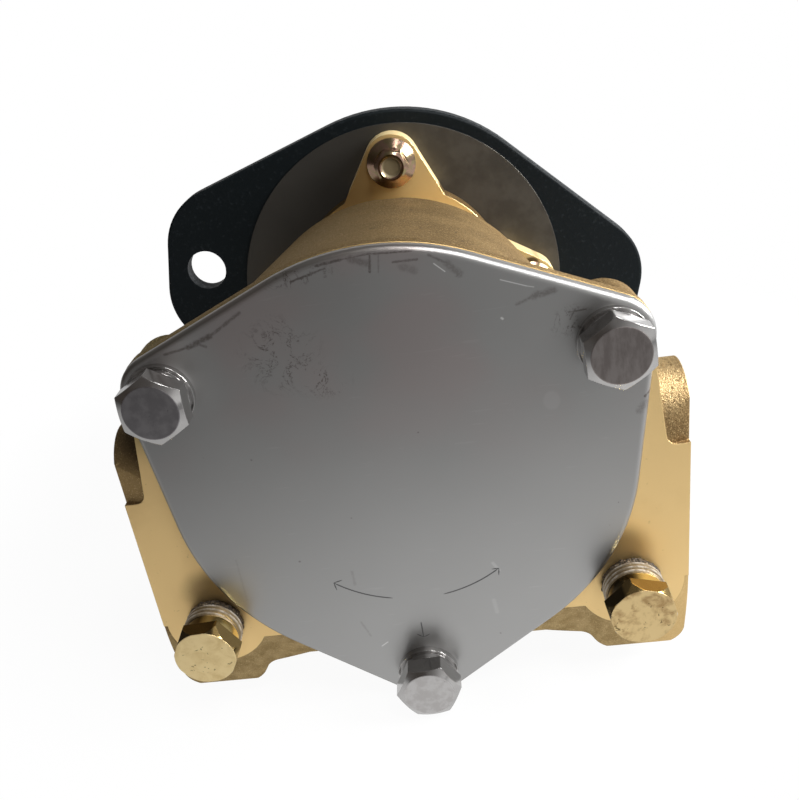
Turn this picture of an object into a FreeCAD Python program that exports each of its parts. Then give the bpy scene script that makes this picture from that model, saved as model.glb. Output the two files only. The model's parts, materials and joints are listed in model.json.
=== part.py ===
import FreeCAD, Part
import math
import os

# Flexible-impeller seawater pump on a two-bolt adapter flange, in millimetres.
# The shaft lies along Y and the cover faces -Y. The origin is the centre of the adapter
# flange's mounting face, +Z is up and +X is to the right as seen from the cover.

# Adapter flange: a two-bolt plate with a round pilot behind and a turned pad in front
flange_spacing = 146.05
flange_hole_d = 14.3
flange_t = 7.0
flange_middle_r = 62.3
flange_end_r = 22.7
flange_end_inset = 8.2
flange_end_half_height = 8.2
flange_turn_deg = -12.6
flange_round = 1.0
pad_r = 58.0
pad_h = 0.5
pilot_d = 101.6
pilot_h = 9.5
pilot_chamfer = 0.8
pilot_groove_lead = 0.4
adapter_bore_d = 44.0

# Rear flange of the body: four lugs on a round waist
lug_t = 8.5
lug_pitch_r = 46.2
lug_end_r = 9.4
lug_root_r = 24.4
lug_root_at = 15.0
lug_waist_r = 38.2
lug_turn_deg = -3.0
register_r = 31.5
register_h = 5.0
register_floor = 0.5
lug_access_l = 25.0

# Neck with the bearings, the drip gap and the seals, from the rear to the front
neck_r = 32.0
bearing_setback = 2.5
bearing_w = 15.0
bearing_outer_r = 26.0
bearing_bore_r = 12.5
ball_r = 3.9
ball_count = 9
race_land = 3.3
race_play = 0.15
cage_t = 2.6
cage_side = 0.8
bearing_gap = 12.0
circlip_t = 1.6
circlip_groove = 1.6
circlip_lap = 2.5
circlip_opening = 9.0
circlip_turn_deg = 250.0
oil_seal_setback = 2.2
oil_seal_t = 7.0
oil_seal_r = 20.0
oil_seal_shell_t = 2.0
oil_seal_lip_t = 1.6
oil_seal_lip_l = 4.2
oil_seal_lip_edge = 0.6
drip_gap_l = 20.0
drip_hole_d = 9.0
drip_hole_setback = 6.3
seal_web_t = 4.0
seal_web_bore_r = 11.5
seal_seat_l = 8.0
seal_seat_r = 16.0
seal_cup_side_t = 2.2
seal_cup_floor_t = 1.8
seal_cup_setback = 1.5
seal_face_setback = 0.3
seal_bore_l = 19.0
seal_bore_r = 18.0

# Impeller chamber and its front seat
chamber_r = 42.0
chamber_l = 45.2
housing_front_r = 53.8
housing_crest_r = 45.5
crest_lap = 4.8
crest_slope_l = 7.0
crest_round = 1.8
wear_plate_t = 1.5
wear_plate_bore_r = 15.5

# Cover, gasket and the three ears
bolt_circle_r = 55.7
ear_angles = (150.0, 270.0, 30.0)
cover_t = 2.6
cover_r = 53.9
cover_ear_r = 9.2
cover_edge_round = 1.3
gasket_t = 0.4
gasket_inset = 0.5
gasket_bore_gap = 0.5
rim_t = 3.0
rim_overhang = 0.1
ear_boss_r = 8.9
ear_boss_l = 11.0
ear_boss_end_r = 5.6
ear_depth = 17.5
ear_floor = 1.5

# Ports: two-bolt flanges on a slant, cut flat by the milled front, with a drain block below
port_face_x = 65.3
port_flange_t = 8.3
port_setback = 21.9
port_drop = 22.0
port_bore_r = 17.0
port_bore_start = 0.5
port_recess_r = 18.5
port_recess_l = 6.0
port_rim_r = 26.0
port_barrel_r = 23.0
port_lobe_r = 10.7
port_lobe_rise = 27.0
port_bolt_depth = 14.0
port_boss_r = 7.0
port_boss_floor = 4.0
block_back = 30.0
block_bottom = 60.0
block_flat_r = 12.6
block_corner_r = 5.5
block_rear_round = 5.0
block_lobe_r = 8.0
block_lobe_x = 50.0
cheek_top = 24.0
cheek_t = 12.0
web_bottom = 52.5
web_flat_bottom = 42.5
web_inner_x = 22.0
web_fillet_r = 3.5
cast_lean_deg = 17.0
cast_round = 3.0

# As-cast lip on each port flange's upper front edge, left behind the milled front
lip_fall = 1.5
lip_bottom_z = 0.0
lip_bottom_x = 60.3
lip_lean = 0.125
lip_corner_r = 2.5

# Drain plugs with a quarter-inch tapered thread
plug_x = 51.6
plug_drop = 36.4
plug_flats = 14.6
plug_hex_h = 4.3
plug_face_r = 7.4
plug_chamfer_l = 2.5
plug_turns = (3.0, 45.0)
plug_thread_r = 6.85
plug_exposed = 9.3
plug_engaged = 8.6
plug_hole_floor = 1.0
plug_taper = 1.0 / 32.0
plug_drill_r = 5.0

# Cam in the chamber, with its screw from below
cam_half_deg = 40.0
cam_end_gap_deg = 1.0
cam_height = 7.5
cam_tap_r = 2.5
cam_tap_depth = 4.5
cam_screw_d = 6.0
cam_screw_play = 0.3
cam_screw_end_gap = 1.0
cam_screw_setback = 17.0
cam_screw_flats = 10.0
cam_screw_head_h = 4.0
cam_boss_r = 9.5
cam_boss_reach = 57.0
cam_washer_t = 1.2
cam_washer_r = 6.5

# Impeller of rubber on a bronze hub
impeller_gap = 0.3
hub_r = 14.5
impeller_root_r = 20.0
blade_count = 10
blade_root_t = 5.2
blade_mid_t = 3.6
blade_tip_t = 3.0
blade_bulb_r = 2.4
blade_length = 19.4
blade_tip_gap = 0.3
blade_least_swing = 3.0
blade_root_sink = 1.5
blade_bow = 0.08
blade_lag = 0.36
blade_start_deg = 12.0

# Drive shaft with a 13-tooth involute spline
shaft_front_r = 10.0
shaft_journal_r = 12.5
shaft_shoulder_r = 15.0
shaft_reach = 41.0
shaft_chamfer = 1.0
shaft_end_gap = 0.5
shaft_journal_lead = 2.5
shaft_taper_l = 3.0
shaft_circlip_groove = 1.0
shaft_circlip_lap = 2.3
shaft_circlip_opening = 6.0
shaft_circlip_turn_deg = 60.0
spline_l = 28.0
spline_teeth = 13
spline_module = 25.4 / 16.0
spline_angle_deg = 30.0
spline_major_r = 10.9
spline_minor_r = 9.2
spline_relief = 0.3
spline_relief_l = 4.0
key_w = 5.0
key_h = 5.0
key_l = 24.0
key_depth = 3.0
key_setback = 2.0
key_play = 0.1

# Rotating half of the shaft seal, slinger and O-rings
seal_start_gap = 0.6
seal_ring_t = 1.0
seal_ring_r = 14.6
bellows_t = 1.8
bellows_end_gap = 1.6
seal_wire_r = 0.9
seal_turns = 3.5
seal_wire_play = 0.4
carbon_l = 6.0
carbon_r = 15.0
carbon_nose_l = 1.4
carbon_nose_step = 1.6
slinger_r = 17.0
slinger_t = 3.0
slinger_rim_t = 1.2
slinger_boss_t = 2.5
slinger_setback = 3.0
o_ring_wire_r = 1.05
pilot_ring_wire_r = 1.6
o_ring_side_play = 0.25

# Fasteners: M8 on the cover, M8 flanged screws on the lugs
hex_chamfer_deg = 30.0
hex_face_share = 0.86
m8_r = 4.0
m8_tap_r = 3.4
m8_clear_r = 4.3
m8_flats = 14.0
m8_head_h = 5.3
flat_washer_r = 7.6
flat_washer_t = 1.6
spring_washer_r = 7.1
spring_washer_t = 2.0
spring_washer_gap = 1.4
spring_washer_turns = (250.0, 280.0, 310.0)
cover_bolt_l = 22.0
cover_bolt_turns = (30.0, 3.0, 35.0)
flange_screw_flats = 10.0
flange_screw_collar_r = 8.3
flange_screw_rim_t = 1.0
flange_screw_collar_h = 3.2
flange_screw_neck = 0.6
flange_screw_head_h = 9.0
flange_screw_dish_r = 3.6
flange_screw_dish_h = 1.0
flange_screw_tap_l = 6.6
flange_screw_turns = (15.0, 50.0, 85.0, 120.0)
thread_lead = 1.0
thread_end_gap = 0.3

# Clearances
running = 0.05
seat_play = 0.05
press_play = 0.02
thread_play = 0.1
washer_play = 0.15

# Stations along the shaft, each worked out from the one behind it
pad_y = -(flange_t + pad_h)
lug_front_y = pad_y - lug_t
rear_bearing_y = pad_y - bearing_setback
front_bearing_y = rear_bearing_y - bearing_w - bearing_gap
bearing_seat_y = front_bearing_y - bearing_w
shaft_circlip_y = bearing_seat_y - circlip_t
drip_front_y = bearing_seat_y - drip_gap_l
seat_back_y = drip_front_y - seal_web_t
seat_front_y = seat_back_y - seal_seat_l
seal_face_y = seat_front_y + seal_face_setback
chamber_rear_y = seat_front_y - seal_bore_l
seal_start_y = chamber_rear_y + seal_start_gap
seat_y = chamber_rear_y - chamber_l
cover_back_y = seat_y - gasket_t
cover_front_y = cover_back_y - cover_t
crest_y = drip_front_y + crest_lap
port_y = seat_y + port_setback
port_z = -port_drop
port_flange_x = port_face_x - port_flange_t
impeller_rear_y = chamber_rear_y - wear_plate_t - impeller_gap
impeller_front_y = seat_y + impeller_gap
cam_screw_y = chamber_rear_y - cam_screw_setback
pilot_groove_y = pilot_h / 2 - pilot_groove_lead

ALONG_X = FreeCAD.Vector(1, 0, 0)
ALONG_Y = FreeCAD.Vector(0, 1, 0)
ALONG_Z = FreeCAD.Vector(0, 0, 1)
CENTRE = FreeCAD.Vector(0, 0, 0)
FAR = 200.0


def at(x, y, z):
    return FreeCAD.Vector(x, y, z)


def polar(radius, degrees):
    """Point (x, z) at a radius and an angle from +X towards +Z."""
    turn = math.radians(degrees)
    return radius * math.cos(turn), radius * math.sin(turn)


def rod(radius, y0, y1, x=0.0, z=0.0):
    """Round bar parallel to the shaft between two stations."""
    return Part.makeCylinder(radius, y1 - y0, at(x, y0, z), ALONG_Y)


def ring(outer, inner, y0, y1, x=0.0, z=0.0):
    return rod(outer, y0, y1, x, z).cut(rod(inner, y0 - 1, y1 + 1, x, z))


def turned(*profile):
    """Solid turned about the shaft axis from a closed profile of (radius, y) corners."""
    corners = [at(radius, y, 0) for radius, y in profile]
    face = Part.Face(Part.makePolygon(corners + corners[:1]))
    return face.revolve(CENTRE, ALONG_Y, 360)


def spun(shape, degrees):
    """Copy turned about the shaft, anticlockwise as seen from the cover."""
    copy = shape.copy()
    copy.rotate(CENTRE, ALONG_Y, -degrees)
    return copy


def moved(shape, x, z):
    copy = shape.copy()
    copy.translate(at(x, 0, z))
    return copy


def open_ring(outer, inner, y0, y1, gap, turn):
    """Ring with a gap in it, as a circlip has."""
    blank = ring(outer, inner, y0, y1)
    slot = Part.makeBox(FAR, y1 - y0 + 2, gap, at(0, y0 - 1, -gap / 2))
    return blank.cut(spun(slot, turn))


def belt(circles, y):
    """Closed outline of a belt round circles (x, z, radius), anticlockwise from the cover."""
    count = len(circles)
    normals = []
    for i in range(count):
        x0, z0, r0 = circles[i]
        x1, z1, r1 = circles[(i + 1) % count]
        heading = math.atan2(z1 - z0, x1 - x0)
        normals.append(heading - math.acos((r0 - r1) / math.hypot(x1 - x0, z1 - z0)))
    edges = []
    for i in range(count):
        x, z, r = circles[i]
        start = normals[i - 1]
        sweep = (normals[i] - start) % (2 * math.pi)
        stops = [start, start + sweep / 2, start + sweep]
        points = [at(x + r * math.cos(a), y, z + r * math.sin(a)) for a in stops]
        edges.append(Part.Arc(*points).toShape())
        x1, z1, r1 = circles[(i + 1) % count]
        leave = normals[i]
        landing = at(x1 + r1 * math.cos(leave), y, z1 + r1 * math.sin(leave))
        edges.append(Part.LineSegment(points[2], landing).toShape())
    return Part.Wire(edges)


def plate(circles, y0, y1):
    """Flat plate with a belt outline between two stations."""
    return Part.Face(belt(circles, y0)).extrude(at(0, y1 - y0, 0))


def edges_where(shape, test):
    """Edges whose two ends and middle all pass the test."""
    found = []
    for edge in shape.Edges:
        middle = edge.valueAt((edge.FirstParameter + edge.LastParameter) / 2)
        if all(test(p) for p in [v.Point for v in edge.Vertexes] + [middle]):
            found.append(edge)
    return found


def lies_at(y):
    return lambda point: abs(point.y - y) < 1e-4


def ears():
    return [polar(bolt_circle_r, angle) for angle in ear_angles]


def cover_outline(middle_r, ear_r):
    """The belt round the chamber circle and the three ears."""
    circles = []
    for x, z in ears():
        circles += [(x, z, ear_r), (0, 0, middle_r)]
    return circles


def hexagon(flats, y0, y1, x=0.0, z=0.0, turn=0.0):
    corner = flats / math.sqrt(3)
    points = []
    for k in range(7):
        dx, dz = polar(corner, turn + 60 * k)
        points.append(at(x + dx, y0, z + dz))
    return Part.Face(Part.makePolygon(points)).extrude(at(0, y1 - y0, 0))


def chamfered_hexagon(flats, face_r, drop, y_face, y_back, x, z, turn):
    """Hexagon whose corners are turned off, to a radius at y_face and over a length."""
    corner_r = flats / math.sqrt(3) + 0.01
    blank = turned(
        (0, y_face),
        (face_r, y_face),
        (corner_r, y_face + drop),
        (corner_r, y_back),
        (0, y_back),
    )
    return hexagon(flats, y_face, y_back, x, z, turn).common(moved(blank, x, z))


def screw_head(flats, y_face, y_back, x, z, turn):
    """Hexagon head chamfered at the usual angle."""
    face_r = flats / 2 * hex_face_share
    drop = (flats / math.sqrt(3) - face_r) * math.tan(math.radians(hex_chamfer_deg))
    return chamfered_hexagon(flats, face_r, drop, y_face, y_back, x, z, turn)


def chamber_profile():
    """Centre height and radius of the arc that the cam's inner face follows."""
    end_x = chamber_r * math.sin(math.radians(cam_half_deg))
    end_z = -chamber_r * math.cos(math.radians(cam_half_deg))
    middle_z = cam_height - chamber_r
    centre_z = (end_x ** 2 + end_z ** 2 - middle_z ** 2) / (2 * (end_z - middle_z))
    return centre_z, centre_z - middle_z


def wall_radius(degrees):
    """Distance from the shaft to the chamber wall or cam along a direction."""
    from_down = (degrees - 270.0 + 180.0) % 360.0 - 180.0
    if abs(from_down) >= cam_half_deg:
        return chamber_r
    centre_z, arc_r = chamber_profile()
    across = centre_z * math.cos(math.radians(from_down))
    return -across + math.sqrt(across ** 2 - centre_z ** 2 + arc_r ** 2)


def side_slab(flat_bottom, bottom, back):
    """Slab across X with the milled front, the leaning cast front below it and round edges."""
    lean = (bottom - flat_bottom) * math.tan(math.radians(cast_lean_deg))
    corners = [
        at(0, seat_y, -flat_bottom),
        at(0, seat_y + lean, -bottom),
        at(0, seat_y + back, -bottom),
        at(0, seat_y + back, FAR),
        at(0, seat_y, FAR),
    ]
    slab = Part.Face(Part.makePolygon(corners + corners[:1])).extrude(at(FAR, 0, 0))
    for radius, corner in ((cast_round, corners[1]), (block_rear_round, corners[2])):
        along = edges_where(slab, lambda p: math.hypot(p.y - corner.y, p.z - corner.z) < 1e-4)
        slab = slab.makeFillet(radius, along)
    return slab


def plug_cone():
    """Space of a drain block whose cast front slopes away round the plug's milled seat."""
    end_r = block_flat_r + block_back / math.tan(math.radians(cast_lean_deg))
    slope = Part.makeCone(block_flat_r, end_r, block_back, at(plug_x, seat_y, -plug_drop), ALONG_Y)
    return slope.fuse(Part.makeBox(FAR, block_back, FAR, at(0, seat_y, -plug_drop)))


def port_bolts():
    """The two bolt places (y, z) of the right port: front above, rear below."""
    across = port_setback - port_lobe_r
    return [(port_y - across, port_z + port_lobe_rise), (port_y + across, port_z - port_lobe_rise)]


def port_flange():
    """Two-lobed flange round the right port, its outline in the YZ plane."""
    front, rear = [(y, z, port_lobe_r) for y, z in port_bolts()]
    middle = (port_y, port_z, port_rim_r)
    flange = plate([front, middle, rear, middle], -port_face_x, -port_flange_x)
    flange.rotate(CENTRE, ALONG_Z, 90)
    return flange


def lip_cut():
    """What the rounded lip leaves away in front, down to the ledge of the milled front."""
    lip_r = (port_flange_t ** 2 + lip_fall ** 2) / (2 * lip_fall)
    y = seat_y - 0.01
    corners = [
        at(lip_bottom_x, y, lip_bottom_z),
        at(port_face_x + 1, y, lip_bottom_z),
        at(port_face_x + 1, y, lip_bottom_z + FAR),
        at(lip_bottom_x - lip_lean * FAR, y, lip_bottom_z + FAR),
    ]
    front = Part.Face(Part.makePolygon(corners + corners[:1])).extrude(at(0, lip_r, 0))
    inner = edges_where(front, lambda p: math.hypot(p.x - lip_bottom_x, p.z - lip_bottom_z) < 1e-4)
    middle = at(port_flange_x, seat_y + lip_r, lip_bottom_z)
    inside = Part.makeCylinder(lip_r, FAR, middle, ALONG_Z)
    return front.makeFillet(lip_corner_r, inner).cut(inside)


def cheek():
    """Milled web between an ear and the port flange, ending at the lip's leaning edge."""
    corners = [
        at(web_inner_x, seat_y, port_z),
        at(lip_bottom_x, seat_y, port_z),
        at(lip_bottom_x, seat_y, lip_bottom_z),
        at(lip_bottom_x - lip_lean * (cheek_top - lip_bottom_z), seat_y, cheek_top),
        at(web_inner_x, seat_y, cheek_top),
    ]
    return Part.Face(Part.makePolygon(corners + corners[:1])).extrude(at(0, cheek_t, 0))


def port_side(side):
    """Port flange, barrel, drain block and bottom web on one side of the casting."""
    barrel = Part.makeCylinder(port_barrel_r, port_flange_x + 1, at(0, port_y, port_z), ALONG_X)
    boss_l = port_bolt_depth + port_boss_floor
    bosses = []
    for y, z in port_bolts():
        place = at(port_face_x - boss_l, y, z)
        bosses.append(Part.makeCylinder(port_boss_r, boss_l, place, ALONG_X))
    corner_x = port_face_x - block_corner_r
    circles = [
        (block_lobe_x, block_lobe_r - block_bottom, block_lobe_r),
        (corner_x, block_corner_r - block_bottom, block_corner_r),
        (corner_x, lip_bottom_z - block_corner_r, block_corner_r),
        (web_inner_x, lip_bottom_z - block_corner_r, block_corner_r),
    ]
    block = plate(circles, seat_y, seat_y + block_back)
    web_l = block_lobe_x - web_inner_x
    web = Part.makeBox(web_l, block_back, web_bottom, at(web_inner_x, seat_y, -web_bottom))
    block = block.fuse(web)
    corner = edges_where(block, lambda p: abs(p.z + web_bottom) < 1e-4 and p.x > web_inner_x + 1)
    block = block.makeFillet(web_fillet_r, corner)
    block = block.common(side_slab(plug_drop + block_flat_r, block_bottom, block_back))
    block = block.common(plug_cone())
    web = web.common(side_slab(web_flat_bottom, web_bottom, block_back))
    milled_off = Part.makeBox(FAR, FAR, 2 * FAR, at(0, seat_y - FAR, -FAR))
    flange = port_flange().cut(lip_cut())
    whole = barrel.fuse([flange, block, web, cheek()] + bosses).cut(milled_off)
    if side < 0:
        whole = whole.mirror(CENTRE, ALONG_X)
    return whole


def port_cuts(side):
    """Bore with its recess at the mouth, bolt holes and drain hole on one side."""
    inner_x = chamber_r * math.sin(math.radians(cam_half_deg)) + port_bore_start
    recess_x = port_face_x - port_recess_l
    cuts = [
        Part.makeCylinder(port_bore_r, FAR, at(inner_x, port_y, port_z), ALONG_X),
        Part.makeCylinder(port_recess_r, FAR, at(recess_x, port_y, port_z), ALONG_X),
    ]
    for y, z in port_bolts():
        place = at(port_face_x - port_bolt_depth, y, z)
        cuts.append(Part.makeCylinder(m8_tap_r, FAR, place, ALONG_X))
    mouth_r = plug_thread_r - plug_exposed * plug_taper + thread_play
    depth = plug_engaged + plug_hole_floor
    place = at(plug_x, seat_y, -plug_drop)
    cuts.append(Part.makeCone(mouth_r, mouth_r - depth * plug_taper, depth, place, ALONG_Y))
    cuts.append(rod(plug_drill_r, seat_y + depth - 1, port_y, plug_x, -plug_drop))
    if side < 0:
        cuts = [cut.mirror(CENTRE, ALONG_X) for cut in cuts]
    return cuts


def lug_centres():
    return [polar(lug_pitch_r, lug_turn_deg + 90 * k) for k in range(4)]


def rear_flange():
    flange = rod(lug_waist_r, lug_front_y, pad_y)
    for k in range(4):
        tip_x, tip_z = polar(lug_pitch_r, lug_turn_deg + 90 * k)
        root_x, root_z = polar(lug_root_at, lug_turn_deg + 90 * k)
        lug = plate([(root_x, root_z, lug_root_r), (tip_x, tip_z, lug_end_r)], lug_front_y, pad_y)
        flange = flange.fuse(lug)
    return flange


def pump_body():
    """Bronze casting: chamber, ears, ports, neck and rear flange in one piece."""
    ear_r = cover_ear_r + rim_overhang
    rim = plate(cover_outline(cover_r + rim_overhang, ear_r), seat_y, seat_y + rim_t)
    outside = turned(
        (0, seat_y),
        (housing_front_r, seat_y),
        (housing_crest_r, crest_y),
        (neck_r, crest_y + crest_slope_l),
        (neck_r, lug_front_y + 1),
        (0, lug_front_y + 1),
    )
    crest = edges_where(outside, lambda p: abs(math.hypot(p.x, p.z) - housing_crest_r) < 0.01)
    outside = outside.makeFillet(crest_round, crest)
    boss = turned(
        (0, seat_y),
        (ear_boss_r, seat_y),
        (ear_boss_r, seat_y + ear_boss_l),
        (ear_boss_end_r, seat_y + ear_depth),
        (0, seat_y + ear_depth),
    )
    bosses = [moved(boss, x, z) for x, z in ears()]
    under_cam = at(0, cam_screw_y, -cam_boss_reach)
    cam_boss = Part.makeCylinder(cam_boss_r, cam_boss_reach, under_cam, ALONG_Z)
    under_drip = at(0, drip_front_y + drip_hole_setback, -FAR)
    drip_hole = Part.makeCylinder(drip_hole_d / 2, 2 * FAR, under_drip, ALONG_Z)
    register = rod(register_r, pad_y - 1, pad_y + register_h)
    casting = outside.fuse([rim, rear_flange(), register, cam_boss] + bosses)
    casting = casting.fuse([port_side(-1), port_side(1)])

    bores = [
        rod(chamber_r, seat_y - 1, chamber_rear_y),
        rod(seal_bore_r, chamber_rear_y - 1, seat_front_y),
        rod(seal_seat_r, seat_front_y - 1, seat_back_y),
        rod(seal_web_bore_r, seat_back_y - 1, drip_front_y + 1),
        rod(oil_seal_r, drip_front_y, bearing_seat_y + 1),
        rod(bearing_outer_r + running, bearing_seat_y, pad_y + register_h + 1),
        rod(bearing_outer_r + circlip_groove, rear_bearing_y, rear_bearing_y + circlip_t + seat_play),
        spun(drip_hole, lug_turn_deg),
        Part.makeCylinder(cam_screw_d / 2 + cam_screw_play, cam_boss_reach, under_cam, ALONG_Z),
        register_groove(),
    ]
    bores += [rod(m8_tap_r, seat_y - 1, seat_y + ear_depth - ear_floor, x, z) for x, z in ears()]
    bores += [rod(m8_clear_r, lug_front_y - lug_access_l, pad_y + 1, x, z) for x, z in lug_centres()]
    bores += port_cuts(-1) + port_cuts(1)
    return casting.cut(bores).removeSplitter()


def register_groove():
    """Groove round the register for its O-ring."""
    middle = pad_y + register_h / 2
    depth = 2 * o_ring_wire_r
    half = o_ring_wire_r + o_ring_side_play
    return ring(register_r + 1, register_r + seat_play - depth, middle - half, middle + half)


def register_o_ring():
    middle = pad_y + register_h / 2
    major = register_r - o_ring_wire_r + seat_play
    return Part.makeTorus(major, o_ring_wire_r - seat_play / 2, at(0, middle, 0), ALONG_Y)


def adapter_flange():
    """Rhombic plate, turned pad in front, pilot behind, register bore and tapped holes."""
    end_x = flange_spacing / 2 - flange_end_inset
    end_z = flange_end_half_height
    circles = [
        (end_x, -end_z, flange_end_r),
        (end_x, end_z, flange_end_r),
        (0, 0, flange_middle_r),
        (-end_x, end_z, flange_end_r),
        (-end_x, -end_z, flange_end_r),
        (0, 0, flange_middle_r),
    ]
    body = plate(circles, -flange_t, 0)
    front = edges_where(body, lies_at(-flange_t))
    body = body.makeFillet(flange_round, front)
    holes = []
    for side in (-1, 1):
        holes.append(rod(flange_hole_d / 2, -flange_t - 1, 1, side * flange_spacing / 2, 0))
    body = spun(body.cut(holes), flange_turn_deg)
    pilot_r = pilot_d / 2
    pilot = turned(
        (0, -1),
        (pilot_r, -1),
        (pilot_r, pilot_h - pilot_chamfer),
        (pilot_r - pilot_chamfer, pilot_h),
        (0, pilot_h),
    )
    half = pilot_ring_wire_r + o_ring_side_play
    floor_r = pilot_r - 2 * pilot_ring_wire_r
    groove = ring(pilot_r + 1, floor_r, pilot_groove_y - half, pilot_groove_y + half)
    body = body.fuse([rod(pad_r, pad_y, -flange_t + 1), pilot])
    cuts = [
        groove,
        rod(register_r + seat_play, pad_y - 1, pad_y + register_h + register_floor),
        rod(adapter_bore_d / 2, pad_y - 1, pilot_h + 1),
    ]
    cuts += [rod(m8_tap_r, pad_y - 1, pad_y + flange_screw_tap_l, x, z) for x, z in lug_centres()]
    return body.cut(cuts)


def pilot_o_ring():
    major = pilot_d / 2 - pilot_ring_wire_r - seat_play / 2
    return Part.makeTorus(major, pilot_ring_wire_r - seat_play / 2, at(0, pilot_groove_y, 0), ALONG_Y)


def cover_plate():
    cover = plate(cover_outline(cover_r, cover_ear_r), cover_front_y, cover_back_y)
    cover = cover.makeFillet(cover_edge_round, edges_where(cover, lies_at(cover_front_y)))
    return cover.cut([rod(m8_clear_r, cover_front_y - 1, cover_back_y + 1, x, z) for x, z in ears()])


def cover_gasket():
    outline = cover_outline(cover_r - gasket_inset, cover_ear_r - gasket_inset)
    gasket = plate(outline, cover_back_y, seat_y)
    cuts = [rod(m8_clear_r, cover_back_y - 1, seat_y + 1, x, z) for x, z in ears()]
    return gasket.cut(cuts + [rod(chamber_r + gasket_bore_gap, cover_back_y - 1, seat_y + 1)])


def flat_washers():
    top = cover_front_y - flat_washer_t
    return [ring(flat_washer_r, m8_clear_r, top, cover_front_y, x, z) for x, z in ears()]


def spring_washers():
    """Split rings under the bolt heads."""
    back = cover_front_y - flat_washer_t
    front = back - spring_washer_t
    washers = []
    for turn, (x, z) in zip(spring_washer_turns, ears()):
        washer = open_ring(spring_washer_r, m8_r + washer_play, front, back, spring_washer_gap, turn)
        washers.append(moved(washer, x, z))
    return washers


def m8_shank(head_y, hole_y, end_y):
    """Plain shank down to just before the tapped hole, then the thread at its root radius."""
    plain_end = hole_y - thread_lead
    return turned(
        (0, head_y),
        (m8_r, head_y),
        (m8_r, plain_end),
        (m8_tap_r, plain_end + m8_r - m8_tap_r),
        (m8_tap_r, end_y),
        (0, end_y),
    )


def cover_bolts():
    head_back = cover_front_y - flat_washer_t - spring_washer_t
    head_face = head_back - m8_head_h
    shank = m8_shank(head_back - 1, seat_y, head_back + cover_bolt_l)
    bolts = []
    for turn, (x, z) in zip(cover_bolt_turns, ears()):
        head = screw_head(m8_flats, head_face, head_back, x, z, turn)
        bolts.append(head.fuse(moved(shank, x, z)))
    return bolts


def pipe_plugs():
    """Hexagon plugs with a tapered thread, one in each drain block."""
    hex_back = seat_y - plug_exposed
    length = plug_exposed + plug_engaged
    end_r = plug_thread_r - length * plug_taper
    plugs = []
    for x, turn in zip((-plug_x, plug_x), plug_turns):
        z = -plug_drop
        head = chamfered_hexagon(
            plug_flats, plug_face_r, plug_chamfer_l, hex_back - plug_hex_h, hex_back, x, z, turn
        )
        place = at(x, hex_back, z)
        plugs.append(head.fuse(Part.makeCone(plug_thread_r, end_r, length, place, ALONG_Y)))
    return plugs


def flange_screws():
    """Flanged hexagon screws with dished heads, one through each lug."""
    top = lug_front_y - flange_screw_head_h
    collar_top = lug_front_y - flange_screw_collar_h
    dish_floor = top + flange_screw_dish_h
    dish_floor_r = flange_screw_dish_r - flange_screw_dish_h
    collar = turned(
        (0, lug_front_y),
        (flange_screw_collar_r, lug_front_y),
        (flange_screw_collar_r, lug_front_y - flange_screw_rim_t),
        (flange_screw_flats / 2 + flange_screw_neck, collar_top),
        (0, collar_top),
    )
    dish = turned(
        (0, top - 1),
        (flange_screw_dish_r, top - 1),
        (flange_screw_dish_r, top),
        (dish_floor_r, dish_floor),
        (0, dish_floor),
    )
    shank = m8_shank(lug_front_y - 1, pad_y, pad_y + flange_screw_tap_l - thread_end_gap)
    screws = []
    for turn, (x, z) in zip(flange_screw_turns, lug_centres()):
        head = screw_head(flange_screw_flats, top, collar_top + 1, 0, 0, turn)
        screws.append(moved(collar.fuse([head, shank]).cut(dish), x, z))
    return screws


def cam_plate():
    """Crescent on the chamber's lower wall that bends the blades."""
    centre_z, arc_r = chamber_profile()
    end = cam_half_deg - cam_end_gap_deg
    blank = rod(chamber_r - seat_play, impeller_front_y, chamber_rear_y - wear_plate_t - seat_play)
    blank = blank.cut(rod(arc_r, seat_y - 1, chamber_rear_y + 1, 0, centre_z))
    half_x = chamber_r * math.sin(math.radians(end))
    window = Part.makeBox(2 * half_x, FAR, chamber_r + 1, at(-half_x, seat_y - 1, -chamber_r - 1))
    hole = Part.makeCylinder(cam_tap_r, cam_tap_depth + 1, at(0, cam_screw_y, -chamber_r - 1), ALONG_Z)
    return blank.common(window).cut(hole)


def cam_screw():
    """Screw from below the casting into the cam."""
    head_top = -cam_boss_reach - cam_washer_t
    tip = cam_tap_depth - cam_screw_end_gap - chamber_r
    head = hexagon(cam_screw_flats, 0, cam_screw_head_h)
    turn_up = FreeCAD.Rotation(ALONG_X, 90)
    head.Placement = FreeCAD.Placement(at(0, cam_screw_y, head_top - cam_screw_head_h), turn_up)
    start = at(0, cam_screw_y, head_top)
    shank = Part.makeCylinder(cam_screw_d / 2, -chamber_r - head_top, start, ALONG_Z)
    thread = Part.makeCylinder(cam_tap_r, tip - head_top, start, ALONG_Z)
    return head.fuse([shank, thread])


def cam_screw_washer():
    base = at(0, cam_screw_y, -cam_boss_reach - cam_washer_t)
    disc = Part.makeCylinder(cam_washer_r, cam_washer_t, base)
    hole = Part.makeCylinder(cam_screw_d / 2 + washer_play, FAR, at(0, cam_screw_y, -FAR))
    return disc.cut(hole)


def wear_plate():
    """Thin disc behind the impeller."""
    return ring(chamber_r - seat_play, wear_plate_bore_r, chamber_rear_y - wear_plate_t, chamber_rear_y)


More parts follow.
